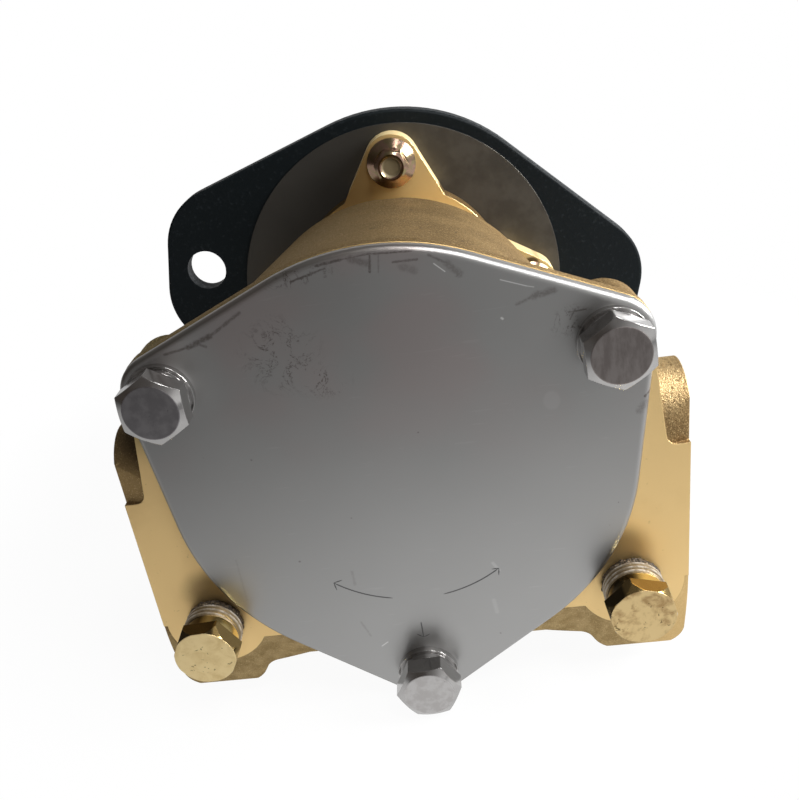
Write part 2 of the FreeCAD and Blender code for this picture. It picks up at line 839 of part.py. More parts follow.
def blade(degrees):
    """One blade, trailing its root and bent further where the cam is close."""
    trail = 0.0
    for _ in range(12):
        tip_r = wall_radius(degrees - trail) - blade_tip_gap - blade_bulb_r
        reach = tip_r - impeller_root_r
        swing = math.sqrt(max(blade_length ** 2 - reach ** 2, blade_least_swing ** 2))
        trail = math.degrees(swing / tip_r)
    root_x, root_z = polar(impeller_root_r - blade_root_sink, degrees)
    mid_r = (impeller_root_r + tip_r) / 2 + blade_bow * swing
    mid_x, mid_z = polar(mid_r, degrees - blade_lag * trail)
    tip_x, tip_z = polar(tip_r, degrees - trail)
    middle = [(root_x, root_z), (mid_x, mid_z), (tip_x, tip_z)]
    halves = (blade_root_t / 2, blade_mid_t / 2, blade_tip_t / 2)
    headings = (
        math.atan2(mid_z - root_z, mid_x - root_x),
        math.atan2(tip_z - root_z, tip_x - root_x),
        math.atan2(tip_z - mid_z, tip_x - mid_x),
    )
    left = []
    right = []
    for (x, z), half, heading in zip(middle, halves, headings):
        dx = -half * math.sin(heading)
        dz = half * math.cos(heading)
        left.append(at(x + dx, impeller_front_y, z + dz))
        right.append(at(x - dx, impeller_front_y, z - dz))
    outline = Part.Wire([
        Part.Arc(*left).toShape(),
        Part.LineSegment(left[2], right[2]).toShape(),
        Part.Arc(*right[::-1]).toShape(),
        Part.LineSegment(right[0], left[0]).toShape(),
    ])
    vane = Part.Face(outline).extrude(at(0, impeller_rear_y - impeller_front_y, 0))
    return vane.fuse(rod(blade_bulb_r, impeller_front_y, impeller_rear_y, tip_x, tip_z))


def impeller():
    rubber = ring(impeller_root_r, hub_r, impeller_front_y, impeller_rear_y)
    blades = [blade(360.0 / blade_count * k + blade_start_deg) for k in range(blade_count)]
    return rubber.fuse(blades).removeSplitter()


def impeller_hub():
    """Bronze sleeve with a keyway from end to end."""
    hub = ring(hub_r, shaft_front_r + running, impeller_front_y, impeller_rear_y)
    width = key_w + key_play
    corner = at(-width / 2, impeller_front_y - 1, shaft_front_r - key_depth)
    return hub.cut(Part.makeBox(width, FAR, key_h + key_play, corner))


def impeller_key():
    corner = at(-key_w / 2, impeller_front_y + key_setback, shaft_front_r - key_depth)
    return Part.makeBox(key_w, key_l, key_h, corner)


def spline():
    """External involute spline, its flanks as arcs through three involute points."""
    pitch_r = spline_module * spline_teeth / 2
    base_r = pitch_r * math.cos(math.radians(spline_angle_deg))
    start_y = shaft_reach - spline_l

    def roll(radius):
        if radius <= base_r:
            return 0.0
        pressure = math.acos(base_r / radius)
        return math.tan(pressure) - pressure

    def place(radius, turn):
        return at(radius * math.cos(turn), start_y, radius * math.sin(turn))

    half_tooth = math.pi / (2 * spline_teeth)
    edges = []
    for tooth in range(spline_teeth):
        centre = 2 * math.pi * tooth / spline_teeth
        flank = []
        for radius in (spline_minor_r, pitch_r, spline_major_r):
            flank.append((radius, half_tooth + roll(pitch_r) - roll(radius)))
        rising = [place(r, centre - a) for r, a in flank]
        falling = [place(r, centre + a) for r, a in flank[::-1]]
        crown = place(spline_major_r, centre)
        root = place(spline_minor_r, centre + math.pi / spline_teeth)
        landing = place(spline_minor_r, centre + 2 * math.pi / spline_teeth - flank[0][1])
        edges.append(Part.Arc(*rising).toShape())
        edges.append(Part.Arc(rising[2], crown, falling[0]).toShape())
        edges.append(Part.Arc(*falling).toShape())
        edges.append(Part.Arc(falling[2], root, landing).toShape())
    teeth = Part.Face(Part.Wire(edges)).extrude(at(0, spline_l, 0))
    end_r = spline_minor_r - spline_relief
    envelope = turned(
        (0, start_y),
        (spline_major_r + 1, start_y),
        (spline_major_r + 1, shaft_reach - (spline_major_r + 1 - end_r)),
        (end_r, shaft_reach),
        (0, shaft_reach),
    )
    return teeth.common(envelope)


def drive_shaft():
    """Stepped shaft: impeller end, seal journal, bearing seats with a shoulder, spline."""
    front_y = impeller_front_y + shaft_end_gap
    shoulder_rear = rear_bearing_y - bearing_w
    journal_front = shaft_circlip_y - oil_seal_t - shaft_journal_lead
    relief_end = shaft_reach - spline_l
    relief_y = relief_end - spline_relief_l
    relief_r = spline_minor_r - spline_relief
    steps = turned(
        (0, front_y),
        (shaft_front_r - shaft_chamfer, front_y),
        (shaft_front_r, front_y + shaft_chamfer),
        (shaft_front_r, journal_front),
        (shaft_journal_r - shaft_chamfer, journal_front),
        (shaft_journal_r, journal_front + shaft_chamfer),
        (shaft_journal_r, front_bearing_y),
        (shaft_shoulder_r, front_bearing_y),
        (shaft_shoulder_r, shoulder_rear),
        (shaft_journal_r, shoulder_rear),
        (shaft_journal_r, relief_y - shaft_taper_l),
        (relief_r, relief_y),
        (relief_r, relief_end + 1),
        (0, relief_end + 1),
    )
    floor_r = shaft_journal_r - shaft_circlip_groove
    groove = ring(shaft_journal_r + 1, floor_r, shaft_circlip_y - seat_play, bearing_seat_y)
    return steps.fuse(spline()).cut([impeller_key(), groove])


def bearing_circlip():
    outer = bearing_outer_r + circlip_groove - seat_play
    inner = bearing_outer_r - circlip_lap
    end_y = rear_bearing_y + circlip_t
    return open_ring(outer, inner, rear_bearing_y, end_y, circlip_opening, circlip_turn_deg)


def shaft_circlip():
    outer = shaft_journal_r + shaft_circlip_lap
    inner = shaft_journal_r - shaft_circlip_groove + seat_play
    start = shaft_circlip_y
    return open_ring(outer, inner, start, bearing_seat_y, shaft_circlip_opening, shaft_circlip_turn_deg)


def bearing_parts(y0):
    """Deep-groove ball bearing from y0 - bearing_w to y0: outer race, inner race, cage, balls."""
    front = y0 - bearing_w
    middle = y0 - bearing_w / 2
    pitch = (bearing_outer_r + bearing_bore_r) / 2
    track = Part.makeTorus(pitch, ball_r + race_play, at(0, middle, 0), ALONG_Y)
    outer = ring(bearing_outer_r, bearing_outer_r - race_land, front, y0).cut(track)
    inner = ring(bearing_bore_r + race_land, bearing_bore_r, front, y0).cut(track)
    spheres = []
    pockets = []
    for k in range(ball_count):
        x, z = polar(pitch, 360.0 / ball_count * k)
        spheres.append(Part.makeSphere(ball_r, at(x, middle, z)))
        start = at(x / 2, middle, z / 2)
        pockets.append(Part.makeCylinder(ball_r + race_play, pitch, start, at(x, 0, z)))
    half_w = ball_r + cage_side
    cage = ring(pitch + cage_t / 2, pitch - cage_t / 2, middle - half_w, middle + half_w).cut(pockets)
    return outer, inner, cage, spheres


def oil_seal():
    """Rubber-covered ring with a lip that runs on the shaft."""
    rear = bearing_seat_y - oil_seal_setback
    front = rear - oil_seal_t
    lip = shaft_journal_r + running
    lip_rear = front + oil_seal_lip_l
    return turned(
        (oil_seal_r - seat_play, front),
        (oil_seal_r - seat_play, rear),
        (oil_seal_r - oil_seal_shell_t, rear),
        (oil_seal_r - oil_seal_shell_t, front + oil_seal_shell_t),
        (lip + oil_seal_lip_t, front + oil_seal_shell_t),
        (lip + oil_seal_lip_t, lip_rear),
        (lip, lip_rear - oil_seal_lip_edge),
        (lip, lip_rear - 2 * oil_seal_lip_edge),
        (lip + oil_seal_lip_edge, front),
    )


def slinger_ring():
    """Rubber disc on the shaft, thicker at its bore."""
    front = drip_front_y + slinger_setback
    middle = front + slinger_t / 2
    return turned(
        (shaft_front_r + press_play, front),
        (shaft_front_r + slinger_boss_t, front),
        (slinger_r, middle - slinger_rim_t / 2),
        (slinger_r, middle + slinger_rim_t / 2),
        (shaft_front_r + slinger_boss_t, front + slinger_t),
        (shaft_front_r + press_play, front + slinger_t),
    )


def seal_seat():
    """Still ring that the carbon runs against."""
    floor_y = seat_back_y - seal_cup_floor_t
    return ring(seal_seat_r - seal_cup_side_t, seal_web_bore_r, seal_face_y, floor_y)


def seal_seat_cup():
    """Rubber cup that holds the still ring in the casting."""
    floor_y = seat_back_y - seal_cup_floor_t
    rim_y = seat_front_y + seal_cup_setback
    return turned(
        (seal_web_bore_r, floor_y),
        (seal_seat_r - seal_cup_side_t, floor_y),
        (seal_seat_r - seal_cup_side_t, rim_y),
        (seal_seat_r - seat_play, rim_y),
        (seal_seat_r - seat_play, seat_back_y),
        (seal_web_bore_r, seat_back_y),
    )


def seal_carbon():
    """Carbon ring that turns with the shaft against the still ring."""
    front = seal_face_y - carbon_l
    inner = shaft_front_r + bellows_t + seat_play
    nose_y = seal_face_y - carbon_nose_l
    return turned(
        (inner, front),
        (carbon_r, front),
        (carbon_r, nose_y),
        (carbon_r - carbon_nose_step, nose_y),
        (carbon_r - carbon_nose_step, seal_face_y - press_play),
        (inner, seal_face_y - press_play),
    )


def seal_bellows():
    """Rubber sleeve on the shaft under the spring."""
    end_y = seal_face_y - bellows_end_gap
    return ring(shaft_front_r + bellows_t, shaft_front_r + press_play, seal_start_y, end_y)


def seal_collar():
    """Steel washer that the spring pushes against."""
    inner = shaft_front_r + bellows_t + seat_play
    return ring(seal_ring_r, inner, seal_start_y, seal_start_y + seal_ring_t)


def seal_spring():
    """Coil between the collar and the carbon ring, its wire drawn with six flats."""
    low = seal_start_y + seal_ring_t + seal_wire_r
    high = seal_face_y - carbon_l - seal_wire_r
    mean_r = shaft_front_r + bellows_t + seal_wire_r + seal_wire_play
    pitch = (high - low) / seal_turns
    path = Part.makeHelix(pitch, high - low, mean_r)
    corners = []
    for k in range(7):
        dx, dz = polar(seal_wire_r, 30 + 60 * k)
        corners.append(at(mean_r + dx, 0, dz))
    coil = Part.Wire(path.Edges).makePipeShell([Part.makePolygon(corners)], True, True)
    coil.rotate(CENTRE, ALONG_X, -90)
    coil.translate(at(0, low, 0))
    return coil


def export(name, shape):
    if isinstance(shape, list):
        shape = Part.makeCompound(shape)
    shape.exportStep("parts/" + name + ".step")


def main():
    os.makedirs("parts", exist_ok=True)
    export("pump_body", pump_body())
    export("adapter_flange", adapter_flange())
    export("register_o_ring", register_o_ring())
    export("pilot_o_ring", pilot_o_ring())
    export("flange_screws", flange_screws())
    export("cover_plate", cover_plate())
    export("cover_gasket", cover_gasket())
    export("cover_bolts", cover_bolts())
    export("spring_washers", spring_washers())
    export("flat_washers", flat_washers())
    export("pipe_plugs", pipe_plugs())
    export("cam_plate", cam_plate())
    export("cam_screw", cam_screw())
    export("cam_screw_washer", cam_screw_washer())
    export("wear_plate", wear_plate())
    export("impeller", impeller())
    export("impeller_hub", impeller_hub())
    export("impeller_key", impeller_key())
    export("drive_shaft", drive_shaft())
    for place, y in (("front", front_bearing_y), ("rear", rear_bearing_y)):
        outer, inner, cage, balls = bearing_parts(y)
        export(place + "_bearing_outer_race", outer)
        export(place + "_bearing_inner_race", inner)
        export(place + "_bearing_cage", cage)
        export(place + "_bearing_balls", balls)
    export("bearing_circlip", bearing_circlip())
    export("shaft_circlip", shaft_circlip())
    export("oil_seal", oil_seal())
    export("slinger_ring", slinger_ring())
    export("seal_seat", seal_seat())
    export("seal_seat_cup", seal_seat_cup())
    export("seal_carbon", seal_carbon())
    export("seal_bellows", seal_bellows())
    export("seal_collar", seal_collar())
    export("seal_spring", seal_spring())


main()
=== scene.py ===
import json
import math

import bpy
from mathutils import Matrix, Vector


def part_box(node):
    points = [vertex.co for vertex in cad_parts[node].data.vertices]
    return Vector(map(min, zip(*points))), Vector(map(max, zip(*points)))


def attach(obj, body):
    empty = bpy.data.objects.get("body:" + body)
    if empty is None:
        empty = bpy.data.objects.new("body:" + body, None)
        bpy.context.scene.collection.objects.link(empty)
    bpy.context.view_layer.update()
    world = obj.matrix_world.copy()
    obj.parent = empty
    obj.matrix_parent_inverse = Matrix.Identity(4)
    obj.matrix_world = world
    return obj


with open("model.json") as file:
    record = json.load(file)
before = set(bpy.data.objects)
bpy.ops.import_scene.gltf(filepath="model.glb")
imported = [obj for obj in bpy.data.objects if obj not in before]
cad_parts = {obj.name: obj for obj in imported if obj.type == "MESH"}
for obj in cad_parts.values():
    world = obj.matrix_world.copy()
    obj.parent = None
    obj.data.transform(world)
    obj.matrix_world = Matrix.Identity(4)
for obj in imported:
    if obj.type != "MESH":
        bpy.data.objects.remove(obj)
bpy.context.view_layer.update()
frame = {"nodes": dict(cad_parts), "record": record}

NODES = frame["nodes"]
MM = 0.001

# Camera: place and axes found from the photograph, in the row frame
CAMERA_PLACE = (0.01486, -0.32170, 0.09857)
CAMERA_RIGHT = (0.9889, 0.0312, -0.1456)
CAMERA_UP = (0.1154, 0.4569, 0.8820)
IMAGE_W = 799
IMAGE_H = 800
FOCAL_PX = 873.37
CENTRE_PX = (377.01, 434.02)

# Studio: levels, and places in metres
WORLD_DARK = (0.050, 0.040, 0.033, 1.0)
LAMP_AIM = (0.0, -0.08, 0.0)
FLOOR_Z = min(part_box(name)[0].z for name in NODES)
FLOOR_FRONT = -0.60
FLOOR_BACK = 1.5
FLOOR_SIDE = 1.5
FLOOR_SHONE_FAR = 0.27
FLOOR_SHONE_NEAR = 0.92

# Planes across Y, taken from the frame, in mm
COVER_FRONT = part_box("cover_plate")[0].y / MM
HEAD_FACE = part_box("cover_bolts")[0].y / MM
PLUG_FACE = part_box("pipe_plugs")[0].y / MM
BODY_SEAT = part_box("pump_body")[0].y / MM
PAD_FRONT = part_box("adapter_flange")[0].y / MM

# Sizes and places of the part that its boxes don't tell, in mm
PORT_FACE_X = 65.3
LUG_FRONT = -16.0
FLANGE_FRONT = -7.0
FLANGE_BACK = 0.0
PAD_R = 58.0
TOP_SCREW = (2.4, 46.1)
DISH_R = 3.2
PLUG_X = 51.6
PLUG_Z = -36.4
PLUG_ROOT_R = 6.85
PLUG_TAPER = 1.0 / 32.0
PLUG_NECK = BODY_SEAT - 9.3

# Thread ridges and dried sealant on the plugs, in mm
THREAD_START = BODY_SEAT - 5.6
THREAD_LENGTH = 4.1
THREAD_PITCH = 1.41
THREAD_ROOT_R = PLUG_ROOT_R - 2.4 * PLUG_TAPER  # 2.4 mm along the cone
THREAD_CREST_R = 7.3
THREAD_SUNK = 0.15
SEALANT_START = BODY_SEAT - 2.3
SEALANT_LENGTH = 2.28
SEALANT_R = 6.5
SEALANT_HEIGHT = 0.9

# Engraved lines on the cover, in mm
LINE_HALF_WIDTH = 0.17
LINE_MIDDLE_PROUD = 0.02
LINE_EDGE_PROUD = 0.004

# Marks rubbed on the cover, in mm: from x, z to x, z, half width, strength
DARK_MARKS = (
    (-15.5, 49.1, -8.2, 50.9, 0.28, 0.8),
    (-9.9, 51.6, -4.7, 52.2, 0.32, 0.75),
    (-4.7, 52.2, 0.8, 52.6, 0.2, 0.6),
    (0.8, 52.6, 9.4, 52.0, 0.25, 0.7),
    (-2.8, 52.1, 0.2, 50.9, 0.8, 0.45),
    (1.2, 52.5, 0.7, 49.0, 0.3, 0.7),
    (2.9, 52.1, 2.4, 48.7, 0.2, 0.35),
    (5.5, 50.3, 10.3, 50.2, 0.3, 0.6),
    (7.2, 49.1, 9.5, 48.1, 0.9, 0.3),
    (12.7, 50.8, 16.1, 48.7, 0.3, 0.5),
    (16.1, 48.7, 18.5, 46.1, 0.8, 0.4),
    (29.2, 38.2, 32.8, 39.5, 0.4, 0.4),
    (32.8, 39.5, 36.7, 40.2, 0.8, 0.5),
    (39.6, 35.1, 43.1, 35.3, 0.2, 0.7),
    (39.8, 33.6, 40.9, 35.6, 0.2, 0.6),
    (-45.0, 37.1, -39.7, 38.0, 0.35, 0.7),
    (-39.7, 38.0, -34.6, 39.8, 0.7, 0.75),
    (-34.6, 39.8, -27.2, 44.1, 0.4, 0.6),
    (-37.6, 38.6, -35.9, 37.7, 0.35, 0.55),
    (54.7, 14.2, 56.1, 15.4, 0.3, 0.8),
    (53.6, 11.0, 55.7, 13.1, 1.0, 0.35),
    (-14.7, -38.5, -12.9, -43.2, 0.3, 0.22),
    (-14.5, -23.3, -14.4, -27.2, 0.4, 0.2),
    (-41.5, -16.5, -41.4, -28.5, 0.3, 0.12),
)
LIGHT_MARKS = (
    (13.6, 48.9, 15.6, 47.0, 0.13, 0.8),
    (26.4, 43.8, 31.5, 41.8, 0.12, 0.7),
    (31.5, 41.8, 32.9, 41.4, 0.12, 0.5),
    (26.0, 35.7, 26.2, 35.5, 0.25, 0.7),
    (19.0, -24.9, 20.3, -27.1, 0.4, 0.14),
    (18.3, -35.8, 18.8, -39.5, 0.5, 0.08),
    (-10.6, -46.7, -9.0, -45.6, 0.15, 0.45),
)


class Tree:
    """Short calls for a node tree."""

    def __init__(self, tree):
        self.tree = tree
        tree.nodes.clear()

    def node(self, kind, **values):
        made = self.tree.nodes.new(kind)
        for key, value in values.items():
            setattr(made, key, value)
        return made

    def put(self, socket, value):
        """Links an output to the socket, or sets a plain value there."""
        if hasattr(value, "is_linked"):
            self.tree.links.new(value, socket)
        elif isinstance(value, tuple) and len(value) == 3 and socket.type == "RGBA":
            socket.default_value = (*value, 1.0)
        else:
            socket.default_value = value

    def math(self, operation, a, b=0.0):
        made = self.node("ShaderNodeMath", operation=operation)
        self.put(made.inputs[0], a)
        self.put(made.inputs[1], b)
        return made.outputs[0]

    def times(self, a, b):
        return self.math("MULTIPLY", a, b)

    def most(self, a, b):
        return self.math("MAXIMUM", a, b)

    def hypot(self, a, b):
        return self.math("SQRT", self.math("ADD", self.times(a, a), self.times(b, b)))

    def split(self, vector):
        """X, Y and Z of a vector."""
        made = self.node("ShaderNodeSeparateXYZ")
        self.put(made.inputs[0], vector)
        return made.outputs

    def band(self, value, low, high, at_low=0.0, at_high=1.0):
        """at_low up to low, at_high from high on, smooth between. Low may be above high."""
        made = self.node("ShaderNodeMapRange", interpolation_type="SMOOTHSTEP")
        self.put(made.inputs["Value"], value)
        made.inputs["From Min"].default_value = low
        made.inputs["From Max"].default_value = high
        made.inputs["To Min"].default_value = at_low
        made.inputs["To Max"].default_value = at_high
        return made.outputs[0]

    def rays(self):
        """Two shares: 1 where the camera looks, and 1 where gloss or glass looks."""
        path = self.node("ShaderNodeLightPath")
        shone = self.most(path.outputs["Is Glossy Ray"], path.outputs["Is Transmission Ray"])
        return path.outputs["Is Camera Ray"], shone

    def mix_shaders(self, factor, a, b):
        """a where factor is 0, b where it is 1."""
        made = self.node("ShaderNodeMixShader")
        for socket, value in zip(made.inputs, (factor, a, b)):
            self.put(socket, value)
        return made.outputs[0]


class Paint(Tree):
    """A material's node tree. Coordinates are object space in mm."""

    def __init__(self, name):
        self.material = bpy.data.materials.new(name)
        self.material.use_nodes = True
        super().__init__(self.material.node_tree)
        self.bsdf = self.node("ShaderNodeBsdfPrincipled")
        out = self.node("ShaderNodeOutputMaterial")
        self.put(out.inputs["Surface"], self.bsdf.outputs[0])
        coord = self.node("ShaderNodeTexCoord")
        self.mm = self.vector("MULTIPLY", coord.outputs["Object"], (1000.0, 1000.0, 1000.0))
        self.x, self.y, self.z = self.split(self.mm)

    def vector(self, operation, a, b):
        made = self.node("ShaderNodeVectorMath", operation=operation)
        self.put(made.inputs[0], a)
        self.put(made.inputs[1], b)
        return made.outputs[0]

    def noise(self, scale, detail=2.0, rough=0.5, stretch=None, distortion=0.0):
        """Noise that a stretch above 1 squeezes along that axis, and one below 1 draws out."""
        made = self.node("ShaderNodeTexNoise")
        place = self.mm
        if stretch is not None:
            place = self.vector("MULTIPLY", place, stretch)
        self.put(made.inputs["Vector"], place)
        made.inputs["Scale"].default_value = scale
        made.inputs["Detail"].default_value = detail
        made.inputs["Roughness"].default_value = rough
        made.inputs["Distortion"].default_value = distortion
        return made.outputs[0]

    def mix(self, factor, a, b):
        """Colour a where factor is 0, b where it is 1."""
        made = self.node("ShaderNodeMix", data_type="RGBA")
        self.put(made.inputs["Factor"], factor)
        self.put(made.inputs["A"], a)
        self.put(made.inputs["B"], b)
        return made.outputs["Result"]

    def blend(self, factor, a, b):
        """Number a where factor is 0, b where it is 1."""
        made = self.node("ShaderNodeMix")
        self.put(made.inputs["Factor"], factor)
        self.put(made.inputs["A"], a)
        self.put(made.inputs["B"], b)
        return made.outputs["Result"]

    def marks(self, rows, wobble):
        """Strength of short rubbed lines on the cover, widened and narrowed by the wobble."""
        total = 0.0
        for x0, z0, x1, z1, half_width, strength in rows:
            length = math.hypot(x1 - x0, z1 - z0)
            ux, uz = (x1 - x0) / length, (z1 - z0) / length
            dx = self.math("SUBTRACT", self.x, x0)
            dz = self.math("SUBTRACT", self.z, z0)
            along = self.math("ADD", self.times(dx, ux), self.times(dz, uz))
            across = self.math("SUBTRACT", self.times(dx, uz), self.times(dz, ux))
            held = self.math("MINIMUM", self.most(along, 0.0), length)
            away = self.hypot(self.math("SUBTRACT", along, held), across)
            away = self.math("ADD", away, self.times(wobble, 1.6 * half_width))
            mark = self.band(away, 1.5 * half_width, 0.4 * half_width)
            total = self.most(self.times(mark, strength), total)
        return total

    def spot(self, x, z, across, up, soft=0.6):
        """1 inside an oval about a place (x, z), fading out beyond it."""
        dx = self.math("DIVIDE", self.math("SUBTRACT", self.x, x), across)
        dz = self.math("DIVIDE", self.math("SUBTRACT", self.z, z), up)
        return self.band(self.hypot(dx, dz), 1.0 + soft, 1.0 - soft)

    def bump(self, height, depth_mm, strength=1.0, normal=None):
        made = self.node("ShaderNodeBump")
        made.inputs["Strength"].default_value = strength
        made.inputs["Distance"].default_value = depth_mm * MM
        self.put(made.inputs["Height"], height)
        if normal is not None:
            self.put(made.inputs["Normal"], normal)
        return made.outputs[0]

    def worn_edge(self, radius_mm):
        """A normal that rounds sharp edges a little."""
        made = self.node("ShaderNodeBevel", samples=4)
        made.inputs["Radius"].default_value = radius_mm * MM
        return made.outputs[0]

    def finish(self, colour, metallic, roughness, normal=None, specular=None):
        self.put(self.bsdf.inputs["Base Color"], colour)
        self.put(self.bsdf.inputs["Metallic"], metallic)
        self.put(self.bsdf.inputs["Roughness"], roughness)
        if specular is not None:
            self.bsdf.inputs["Specular IOR Level"].default_value = specular
        if normal is not None:
            self.put(self.bsdf.inputs["Normal"], normal)
        return self.material


def casting_paint():
    """Bronze casting: sandy skin, milled front and port faces, smooth lugs, with painted light
    and shade.
    """
    p = Paint("bronze_casting")
    grain = p.noise(1.5, 4.0, 0.6, stretch=(1.0, 0.6, 1.0))
    grit = p.noise(2.8, 3.0, 0.65, stretch=(1.0, 0.6, 1.0))
    patch = p.noise(0.09, 3.0, 0.55)
    milled_front = p.band(p.y, BODY_SEAT + 0.06, BODY_SEAT + 0.03)
    port_face = p.band(p.math("ABSOLUTE", p.x), PORT_FACE_X - 0.06, PORT_FACE_X - 0.03)
    lug_face = p.band(p.math("ABSOLUTE", p.math("SUBTRACT", p.y, LUG_FRONT)), 0.08, 0.04)
    machined = p.most(p.most(milled_front, port_face), lug_face)

    # Sandy skin: grains, then painted shade and light on each side, and some darker and lighter
    # patches
    sandy = p.mix(p.band(patch, 0.35, 0.7), (0.20, 0.128, 0.056), (0.30, 0.200, 0.090))
    sandy = p.mix(p.band(grit, 0.54, 0.68), sandy, (0.60, 0.43, 0.21))
    sandy = p.mix(p.times(p.band(grain, 0.5, 0.3), 0.8), sandy, (0.11, 0.067, 0.027))
    # Painted shade over the upper left of the skin, away from the light
    shade = p.times(p.band(p.x, 34.0, -12.0), p.band(p.z, 20.0, 28.0))
    sandy = p.mix(p.times(shade, 0.78), sandy, (0.085, 0.053, 0.019))
    pits = p.band(p.noise(0.5, 2.0, 0.6, stretch=(1.0, 0.45, 1.0)), 0.68, 0.72)
    pits = p.times(pits, p.band(p.z, 42.0, 46.0))
    sandy = p.mix(p.times(pits, 0.8), sandy, (0.05, 0.028, 0.012))
    ear_depth = p.band(p.y, BODY_SEAT + 24.0, BODY_SEAT + 12.0)
    ear = p.times(p.spot(-50.0, 31.0, 14.0, 9.0), ear_depth)
    olive = p.mix(p.band(grit, 0.60, 0.66), (0.07, 0.057, 0.020), (0.80, 0.66, 0.28))
    sandy = p.mix(p.times(ear, 0.8), sandy, olive)
    # Painted highlight on the upper part of the right lip
    right_lip_highlight = p.times(p.spot(60.5, 17.0, 4.5, 8.0), p.band(grain, 0.25, 0.5))
    sandy = p.mix(p.times(right_lip_highlight, 0.38), sandy, (0.78, 0.60, 0.33))
    # Painted shade on the left lip, away from the light
    left_lip_shade = p.times(p.spot(-61.0, 18.0, 6.0, 9.0), 0.8)
    sandy = p.mix(left_lip_shade, sandy, (0.055, 0.042, 0.025))
    lip_light = p.times(p.spot(-63.0, 5.5, 4.5, 5.5), 0.5)
    sandy = p.mix(lip_light, sandy, (0.50, 0.35, 0.16))
    # Painted light on the lowest part, standing for light from the floor below
    low = p.band(p.z, -36.0, -42.0)
    low_floor_light = p.band(p.noise(0.35, 4.0, 0.6), 0.35, 0.65)
    low_floor_light = p.mix(low_floor_light, (0.33, 0.238, 0.108), (0.47, 0.352, 0.178))
    sandy = p.mix(p.times(low, 0.75), sandy, low_floor_light)
    corner = p.times(p.band(p.x, 52.0, 57.0), p.band(p.z, -24.0, -30.0))
    sandy = p.mix(p.times(corner, 0.8), sandy, (0.68, 0.485, 0.225))

    # Milled faces: stains, specks, darker towards the right, painted shade on the upper left,
    # painted shadow and reflection of the plugs above them
    stain = p.band(p.noise(0.05, 4.0, 0.6, distortion=0.6), 0.5, 0.75)
    clean = p.mix(p.times(stain, 0.5), (0.90, 0.645, 0.300), (0.76, 0.525, 0.235))
    speck = p.band(p.noise(0.9, 2.0, 0.5), 0.72, 0.78)
    clean = p.mix(p.times(speck, 0.35), clean, (0.35, 0.23, 0.10))
    clean = p.mix(p.times(p.band(p.x, 20.0, 50.0), 0.45), clean, (0.68, 0.49, 0.23))
    # Painted shade on the upper left, away from the light
    upper_left_shade = p.times(p.band(p.x, 5.0, -20.0), p.band(p.z, 8.0, 20.0))
    clean = p.mix(p.times(upper_left_shade, 0.75), clean, (0.30, 0.245, 0.115))
    # Painted shadow and reflection of each plug on the face above it
    plug_shadow = p.most(p.spot(-50.8, -27.0, 6.0, 5.5, 0.5), p.spot(48.8, -27.0, 6.5, 6.0, 0.5))
    clean = p.mix(p.times(plug_shadow, 0.62), clean, (0.16, 0.105, 0.045))

    # Lugs: painted shade on the left of the faces and painted light on the right, and a painted
    # highlight on the sides
    lug_shade_and_light = p.mix(p.band(p.x, -14.0, 14.0), (0.56, 0.355, 0.140), (1.0, 0.76, 0.36))
    clean = p.mix(lug_face, clean, lug_shade_and_light)
    # Painted highlight on the lug sides beyond the neck
    outside_neck = p.band(p.hypot(p.x, p.z), 39.5, 41.0)
    lug_side_highlight = p.times(p.band(p.y, LUG_FRONT, LUG_FRONT + 0.3), outside_neck)
    sandy = p.mix(lug_side_highlight, sandy, (0.94, 0.76, 0.42))

    # Painted shadow in the notch on the right shoulder, by the lug
    notch_shadow_depth = p.band(p.y, LUG_FRONT - 1.0, LUG_FRONT - 0.3)
    notch_shadow = p.times(p.spot(46.8, 5.4, 3.0, 1.9, 0.35), notch_shadow_depth)
    colour = p.mix(machined, sandy, clean)
    colour = p.mix(p.times(notch_shadow, 0.92), colour, (0.05, 0.028, 0.012))

    rough_cast = p.blend(p.band(grit, 0.45, 0.7), 0.55, 0.34)
    rough_cast = p.blend(lug_side_highlight, rough_cast, 0.62)
    roughness = p.blend(machined, rough_cast, p.blend(lug_face, 0.42, 0.30))
    roughness = p.blend(notch_shadow, roughness, 0.8)
    tool_marks = p.noise(1.4, 2.0, 0.5, stretch=(0.12, 1.0, 1.6))
    height = p.blend(machined, p.blend(0.5, grain, grit), p.times(tool_marks, 0.05))
    normal = p.bump(height, 0.28, 1.0, p.worn_edge(0.35))
    p.bsdf.inputs["Specular Tint"].default_value = (1.0, 0.86, 0.62, 1.0)
    return p.finish(colour, p.blend(machined, 0.84, 0.80), roughness, normal)


